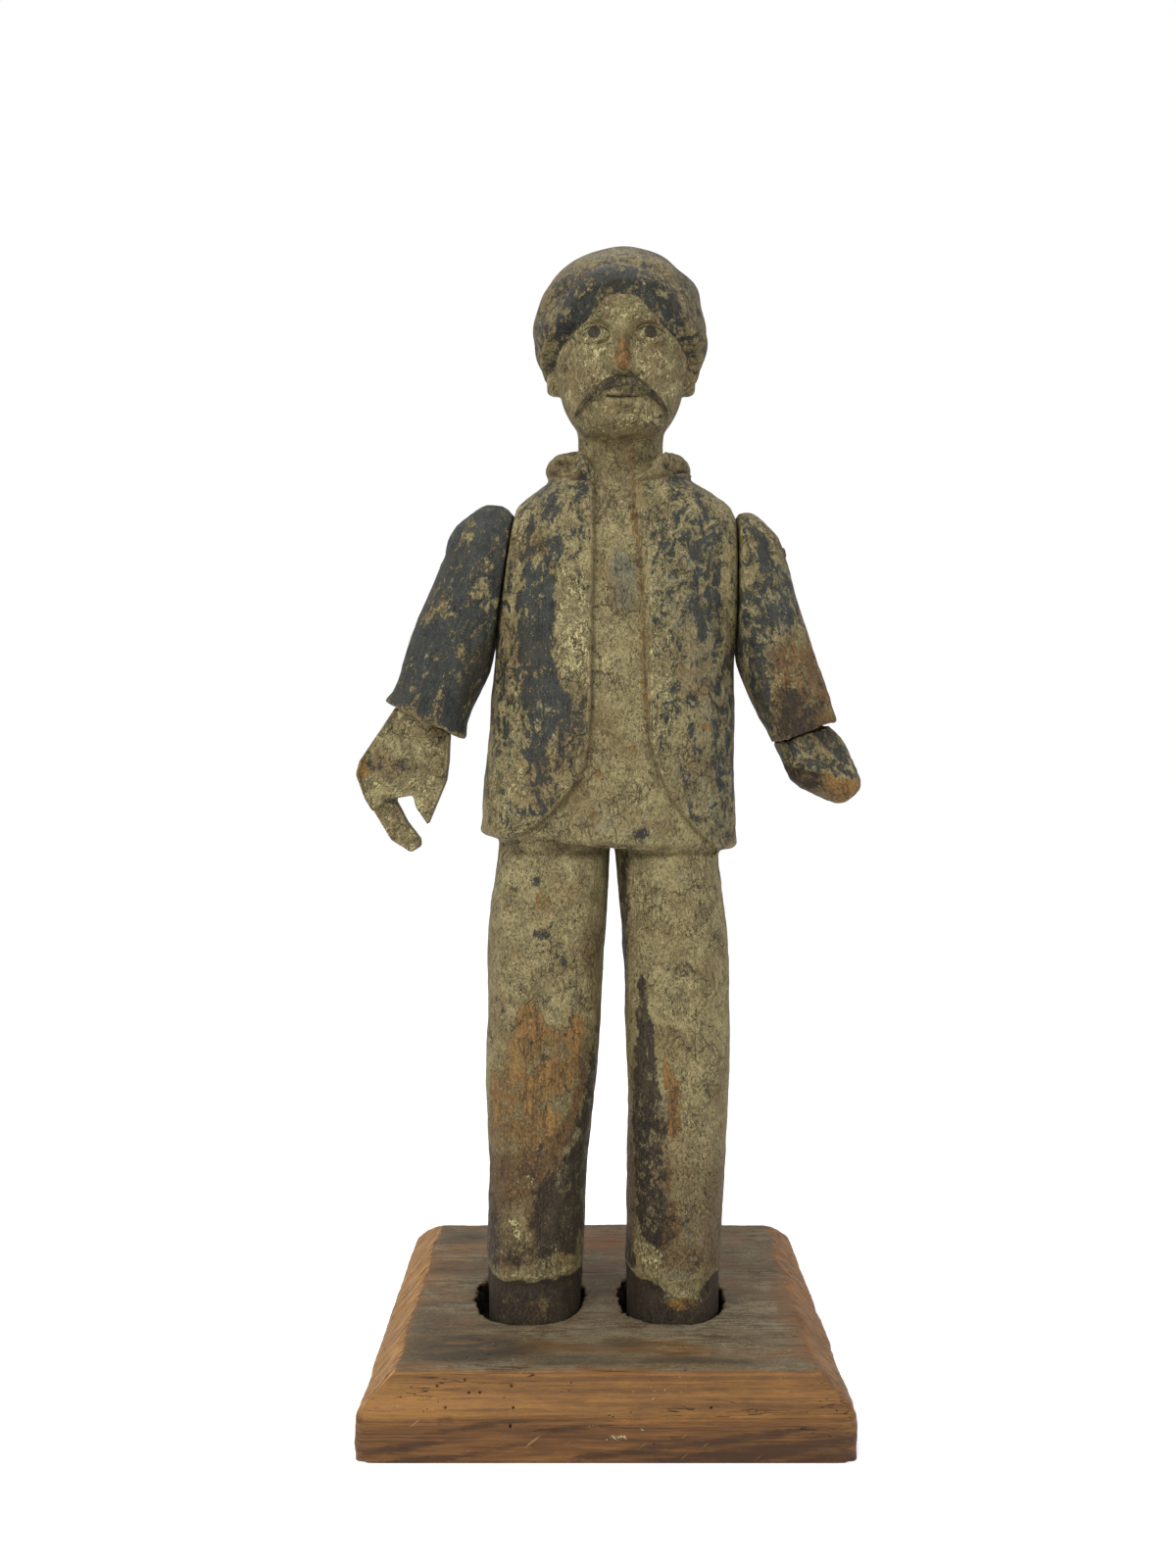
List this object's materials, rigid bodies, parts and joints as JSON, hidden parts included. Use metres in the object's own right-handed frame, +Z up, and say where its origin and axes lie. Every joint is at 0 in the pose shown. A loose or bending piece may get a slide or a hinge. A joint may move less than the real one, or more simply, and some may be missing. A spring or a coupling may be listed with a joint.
{
  "type": "carved wooden figure",
  "caption": "Standing carved and painted wooden man in a round cap and open jacket, arms pegged at the shoulders, feet set in sockets of a bevelled board.",
  "frame": {"origin": "middle of the board's underside, on the surface the object stands on", "axes": "+Z up along the figure, -Y to the front that the figure faces, +X to the figure's left arm"},
  "size_m": [0.2316, 0.19, 0.5149],
  "materials": {
    "stained_board": "stained softwood plank, worn, dark grime on the top face",
    "old_paint": "carved wood under thin khaki and slate oil paint, crackled, flaked and rubbed to bare wood",
    "slate_paint": "carved wood under slate blue-black paint, flaked",
    "hand_wood": "carved wood with thin worn flesh-to-khaki paint",
    "peg_wood": "bare whittled hardwood, darkened",
    "old_iron": "rusted wrought iron"
  },
  "bodies": {
    "figure": {"base_board": "stained_board", "figure_body": "old_paint", "right_shoulder_peg": "peg_wood", "left_shoulder_peg": "peg_wood", "right_foot_nail": "old_iron", "left_foot_nail": "old_iron"},
    "right_arm": {"right_sleeve": "slate_paint", "right_hand": "hand_wood"},
    "left_arm": {"left_sleeve": "slate_paint", "left_hand": "hand_wood"}
  },
  "joints": [
    {"name": "right_shoulder", "type": "hinge", "parent": "figure", "child": "right_arm", "pos_m": [-0.0446, -0.002, 0.3694], "axis": [-0.988, 0, 0.1547], "continuous": true},
    {"name": "left_shoulder", "type": "hinge", "parent": "figure", "child": "left_arm", "pos_m": [0.0608, -0.002, 0.3694], "axis": [1, 0, 0], "continuous": true}
  ]
}
